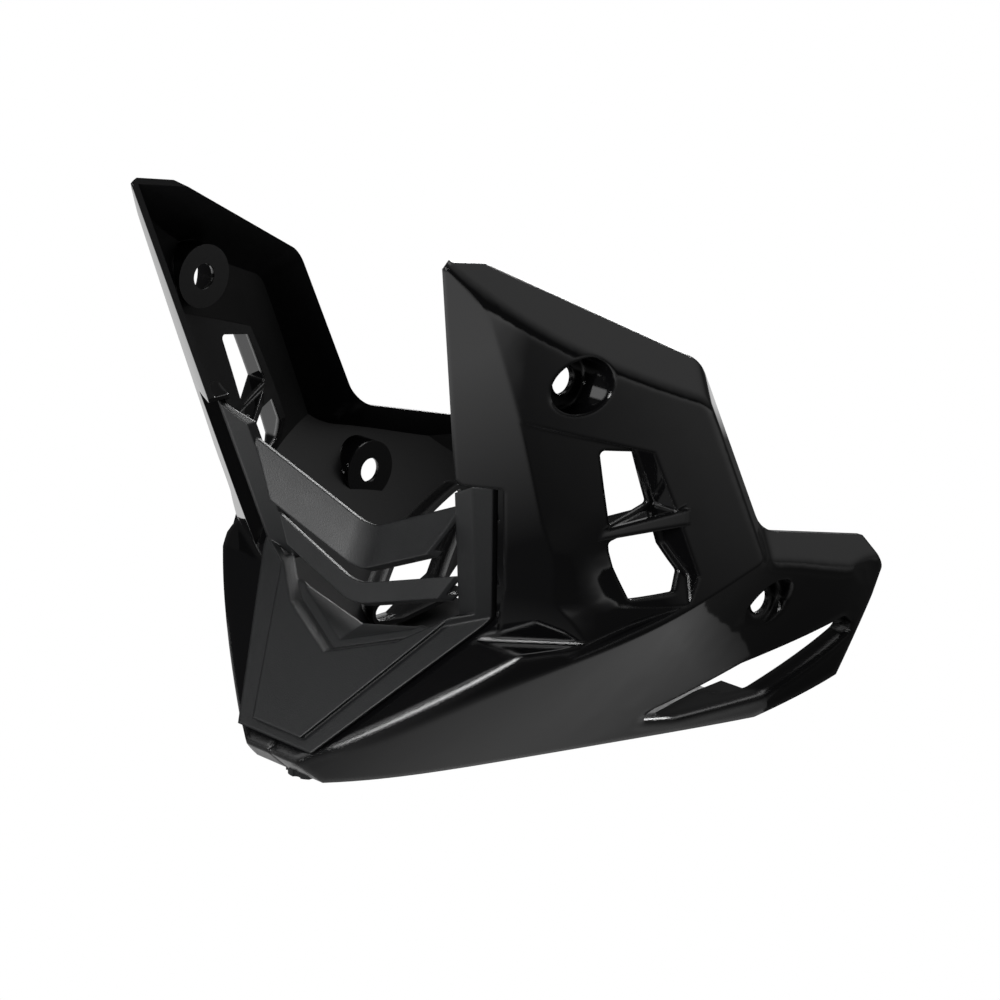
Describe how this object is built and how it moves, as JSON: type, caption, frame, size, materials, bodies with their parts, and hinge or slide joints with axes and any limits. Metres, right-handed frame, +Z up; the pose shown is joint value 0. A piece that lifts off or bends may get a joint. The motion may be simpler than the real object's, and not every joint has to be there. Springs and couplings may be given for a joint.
{
  "type": "motorcycle belly pan",
  "caption": "Open-topped moulded engine belly pan of mirrored side panels with vent scoops, a chevron front grille and recessed side mounting holes.",
  "frame": {"origin": "centre of the bounding box in plan, at the lowest point under the floor joint screws", "axes": "+X to the vehicle's left, +Y rearward, +Z up"},
  "size_m": [0.3412, 0.302, 0.2925],
  "materials": {
    "panel": "gloss black outside, as moulded",
    "grille": "satin black",
    "fastener": "black coated"
  },
  "bodies": {
    "root": {"left_panel": "panel", "right_panel": "panel", "front_grille": "grille", "joint_screws": "fastener", "joint_nuts": "fastener"}
  },
  "joints": []
}
